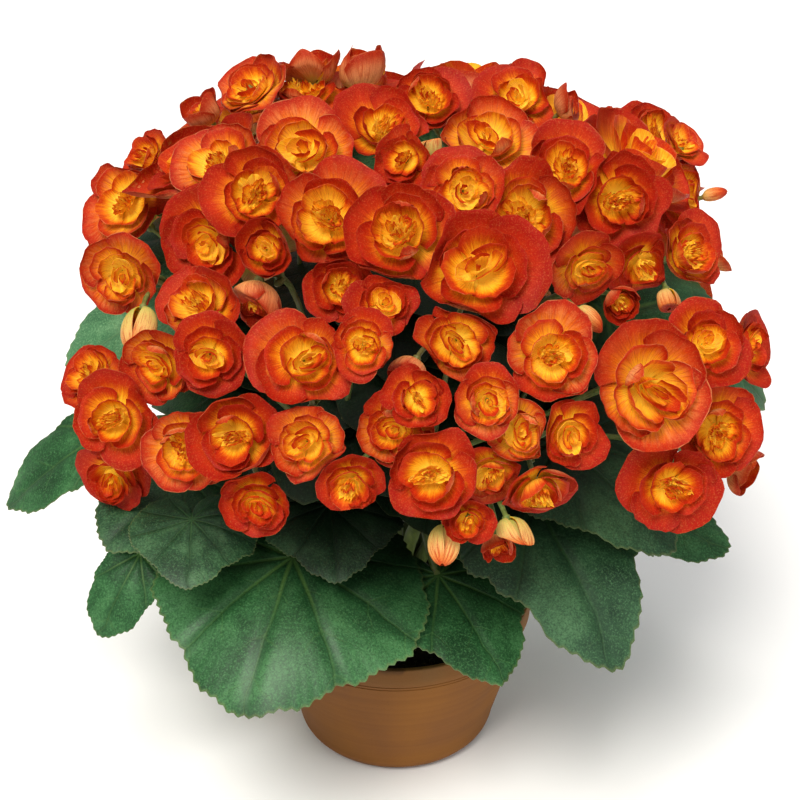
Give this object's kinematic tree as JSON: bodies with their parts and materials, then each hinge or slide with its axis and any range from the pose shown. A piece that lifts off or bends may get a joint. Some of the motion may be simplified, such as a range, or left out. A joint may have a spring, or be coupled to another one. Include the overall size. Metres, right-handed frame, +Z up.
{
  "type": "potted begonia",
  "caption": "Potted houseplant: a dense dome of double orange-red blooms over broad toothed leaves, in a plain tapered clay-coloured pot filled with soil; stands on a shelf or table as decor.",
  "frame": {"origin": "centre of the pot's flat foot, where it stands", "axes": "+Z up through the plant; -Y is the front that the picture shows; +X is to the right seen from the front"},
  "size_m": [0.4115, 0.3626, 0.3912],
  "materials": {
    "clay": "matte clay-coloured pot, unglazed look",
    "earth": "damp dark potting soil",
    "stem_green": "fleshy green-tan stems",
    "petal_orange": "satin scarlet-orange petals, yellow-orange towards the heart",
    "leaf_green": "satin dark green leaf, paler veins"
  },
  "bodies": {
    "root": {"pot": "clay", "soil": "earth", "stems": "stem_green", "cyme_01": "petal_orange", "cyme_02": "petal_orange", "cyme_03": "petal_orange", "cyme_04": "petal_orange", "cyme_05": "petal_orange", "cyme_06": "petal_orange", "cyme_07": "petal_orange", "cyme_08": "petal_orange", "cyme_09": "petal_orange", "cyme_10": "petal_orange", "cyme_11": "petal_orange", "cyme_12": "petal_orange", "cyme_13": "petal_orange", "cyme_14": "petal_orange", "cyme_15": "petal_orange", "cyme_16": "petal_orange", "cyme_17": "petal_orange", "cyme_18": "petal_orange", "cyme_19": "petal_orange", "cyme_20": "petal_orange", "cyme_21": "petal_orange", "cyme_22": "petal_orange", "cyme_23": "petal_orange", "cyme_24": "petal_orange", "cyme_25": "petal_orange", "cyme_26": "petal_orange", "cyme_27": "petal_orange", "cyme_28": "petal_orange", "cyme_29": "petal_orange", "cyme_30": "petal_orange", "cyme_31": "petal_orange", "cyme_32": "petal_orange", "cyme_33": "petal_orange", "cyme_34": "petal_orange", "cyme_35": "petal_orange", "cyme_36": "petal_orange", "cyme_37": "petal_orange", "cyme_38": "petal_orange", "leaf_front_left_large": "leaf_green", "leaf_front_right_small": "leaf_green", "leaf_front_right_large": "leaf_green", "leaf_front_dark": "leaf_green", "leaf_left_low": "leaf_green", "leaf_left_front": "leaf_green", "leaf_left_curled": "leaf_green", "leaf_left_far": "leaf_green", "leaf_left_high": "leaf_green", "leaf_left_side": "leaf_green", "leaf_right_dark": "leaf_green", "leaf_right_small": "leaf_green", "leaf_right_high": "leaf_green", "leaf_right_side": "leaf_green", "leaf_top": "leaf_green", "leaf_back_right": "leaf_green", "leaf_back_middle": "leaf_green", "leaf_back_left": "leaf_green", "leaf_left_top": "leaf_green"}
  },
  "joints": []
}
